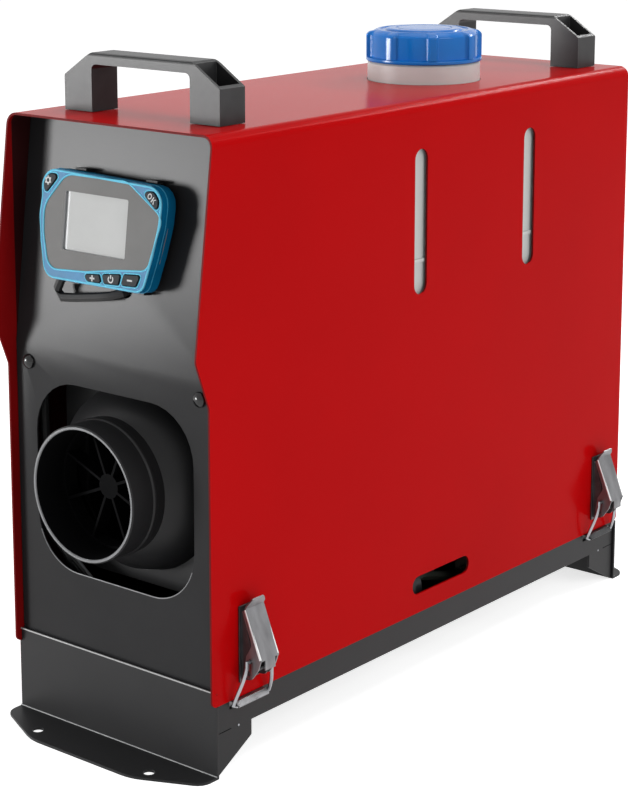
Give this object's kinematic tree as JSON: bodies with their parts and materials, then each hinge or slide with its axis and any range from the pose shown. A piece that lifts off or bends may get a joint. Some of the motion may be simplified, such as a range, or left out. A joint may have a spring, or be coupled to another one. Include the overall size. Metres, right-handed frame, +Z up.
{
  "type": "diesel air heater",
  "caption": "Portable diesel air heater: sheet cover on a black tray, tank with screw cap above the burner unit, display on the sloping front, round duct outlet, draw latches and handles.",
  "frame": {"origin": "on the floor, midway between the two feet and between the two sides", "axes": "+Z up, -Y the way the hot air leaves, +X to the right side seen from behind"},
  "size_m": [0.182, 0.457, 0.3765],
  "materials": {
    "red_paint": "gloss",
    "black_paint": "satin",
    "panel_paint": "satin",
    "handle_plastic": "matte, fine grain",
    "black_plastic": "matte",
    "tank_plastic": "translucent",
    "blue_plastic": "gloss",
    "clear_plastic": "clear",
    "rubber": "matte",
    "hose": "satin",
    "zinc": "zinc plated",
    "catch_front": "zinc plated",
    "catch_rear": "satin",
    "steel": "plain",
    "aluminium": "as cast",
    "teal_case": "gloss",
    "grey_plate": "satin",
    "screen": "clear",
    "button": "satin",
    "black_screw": "gloss"
  },
  "bodies": {
    "case": {"base_tray": "black_paint", "front_foot": "black_paint", "rear_foot": "black_paint", "front_panel": "panel_paint", "rear_panel": "panel_paint", "cover": "red_paint", "front_handle": "handle_plastic", "rear_handle": "handle_plastic", "fuel_tank": "tank_plastic", "fuel_filter": "clear_plastic", "dosing_pump": "aluminium", "pump_clamp": "rubber", "fuel_line_upper": "hose", "fuel_line_lower": "hose", "fuel_line_heater": "hose", "heater_lower_shell": "black_plastic", "heater_upper_shell": "black_plastic", "heat_exchanger": "aluminium", "burner_tube": "steel", "glow_plug": "steel", "blower_motor": "steel", "intake_grille": "black_plastic", "outlet_spigot": "black_plastic", "outlet_guard": "black_plastic", "controller_case": "teal_case", "controller_bracket": "black_plastic", "controller_faceplate": "grey_plate", "controller_screen": "screen", "controller_lead": "rubber", "heater_mount": "zinc", "control_unit": "black_plastic", "exhaust_stub": "steel", "combustion_air_stub": "aluminium", "panel_screw_left": "black_screw", "panel_screw_right": "black_screw", "latch_base_front_left": "zinc", "latch_catch_front_left": "catch_front", "latch_base_rear_left": "zinc", "latch_catch_rear_left": "catch_rear", "latch_base_front_right": "zinc", "latch_catch_front_right": "catch_front", "latch_base_rear_right": "zinc", "latch_catch_rear_right": "catch_rear"},
    "cap_seal": {"cap_gasket": "rubber"},
    "cap": {"filler_cap": "blue_plastic"},
    "rotor": {"circulation_fan": "black_plastic", "combustion_impeller": "black_plastic"},
    "key_settings": {"button_settings": "button"},
    "key_ok": {"button_ok": "button"},
    "key_plus": {"button_plus": "button"},
    "key_power": {"button_power": "button"},
    "key_minus": {"button_minus": "button"},
    "lever_front_left": {"latch_lever_front_left": "zinc"},
    "bail_front_left": {"latch_bail_front_left": "steel"},
    "lever_rear_left": {"latch_lever_rear_left": "zinc"},
    "bail_rear_left": {"latch_bail_rear_left": "steel"},
    "lever_front_right": {"latch_lever_front_right": "zinc"},
    "bail_front_right": {"latch_bail_front_right": "steel"},
    "lever_rear_right": {"latch_lever_rear_right": "zinc"},
    "bail_rear_right": {"latch_bail_rear_right": "steel"}
  },
  "joints": [
    {"name": "cap_lift", "type": "slide", "parent": "case", "child": "cap_seal", "axis": [0, 0, 1], "range_m": [0, 0.012]},
    {"name": "cap_turn", "type": "hinge", "parent": "cap_seal", "child": "cap", "pos_m": [0.011, 0.066, 0.36], "axis": [0, 0, 1], "range_deg": [0, 720]},
    {"name": "fan_spin", "type": "hinge", "parent": "case", "child": "rotor", "pos_m": [0, 0.12, 0.1475], "axis": [0, 1, 0], "continuous": true},
    {"name": "press_settings", "type": "slide", "parent": "case", "child": "key_settings", "axis": [0, 0.9925, -0.1219], "range_m": [0, 0.0008], "stiffness_N_per_m": 400},
    {"name": "press_ok", "type": "slide", "parent": "case", "child": "key_ok", "axis": [0, 0.9925, -0.1219], "range_m": [0, 0.0008], "stiffness_N_per_m": 400},
    {"name": "press_plus", "type": "slide", "parent": "case", "child": "key_plus", "axis": [0, 0.9925, -0.1219], "range_m": [0, 0.0008], "stiffness_N_per_m": 400},
    {"name": "press_power", "type": "slide", "parent": "case", "child": "key_power", "axis": [0, 0.9925, -0.1219], "range_m": [0, 0.0008], "stiffness_N_per_m": 400},
    {"name": "press_minus", "type": "slide", "parent": "case", "child": "key_minus", "axis": [0, 0.9925, -0.1219], "range_m": [0, 0.0008], "stiffness_N_per_m": 400},
    {"name": "latch_front_left", "type": "hinge", "parent": "case", "child": "lever_front_left", "pos_m": [-0.0815, -0.175, 0.056], "axis": [0, -1, 0], "range_deg": [0, 90]},
    {"name": "bail_turn_front_left", "type": "hinge", "parent": "lever_front_left", "child": "bail_front_left", "pos_m": [-0.083, -0.175, 0.063], "axis": [0, -1, 0], "range_deg": [-72, 0]},
    {"name": "latch_rear_left", "type": "hinge", "parent": "case", "child": "lever_rear_left", "pos_m": [-0.0815, 0.175, 0.056], "axis": [0, -1, 0], "range_deg": [0, 90]},
    {"name": "bail_turn_rear_left", "type": "hinge", "parent": "lever_rear_left", "child": "bail_rear_left", "pos_m": [-0.083, 0.175, 0.063], "axis": [0, -1, 0], "range_deg": [-72, 0]},
    {"name": "latch_front_right", "type": "hinge", "parent": "case", "child": "lever_front_right", "pos_m": [0.0815, -0.175, 0.056], "axis": [0, 1, 0], "range_deg": [0, 90]},
    {"name": "bail_turn_front_right", "type": "hinge", "parent": "lever_front_right", "child": "bail_front_right", "pos_m": [0.083, -0.175, 0.063], "axis": [0, 1, 0], "range_deg": [-72, 0]},
    {"name": "latch_rear_right", "type": "hinge", "parent": "case", "child": "lever_rear_right", "pos_m": [0.0815, 0.175, 0.056], "axis": [0, 1, 0], "range_deg": [0, 90]},
    {"name": "bail_turn_rear_right", "type": "hinge", "parent": "lever_rear_right", "child": "bail_rear_right", "pos_m": [0.083, 0.175, 0.063], "axis": [0, 1, 0], "range_deg": [-72, 0]}
  ],
  "couplings": [
    {"joint": "cap_lift", "follows": "cap_turn", "m_per_rad": 0.00095493},
    {"joint": "bail_turn_front_left", "follows": "latch_front_left", "ratio": -0.8},
    {"joint": "bail_turn_rear_left", "follows": "latch_rear_left", "ratio": -0.8},
    {"joint": "bail_turn_front_right", "follows": "latch_front_right", "ratio": -0.8},
    {"joint": "bail_turn_rear_right", "follows": "latch_rear_right", "ratio": -0.8}
  ]
}
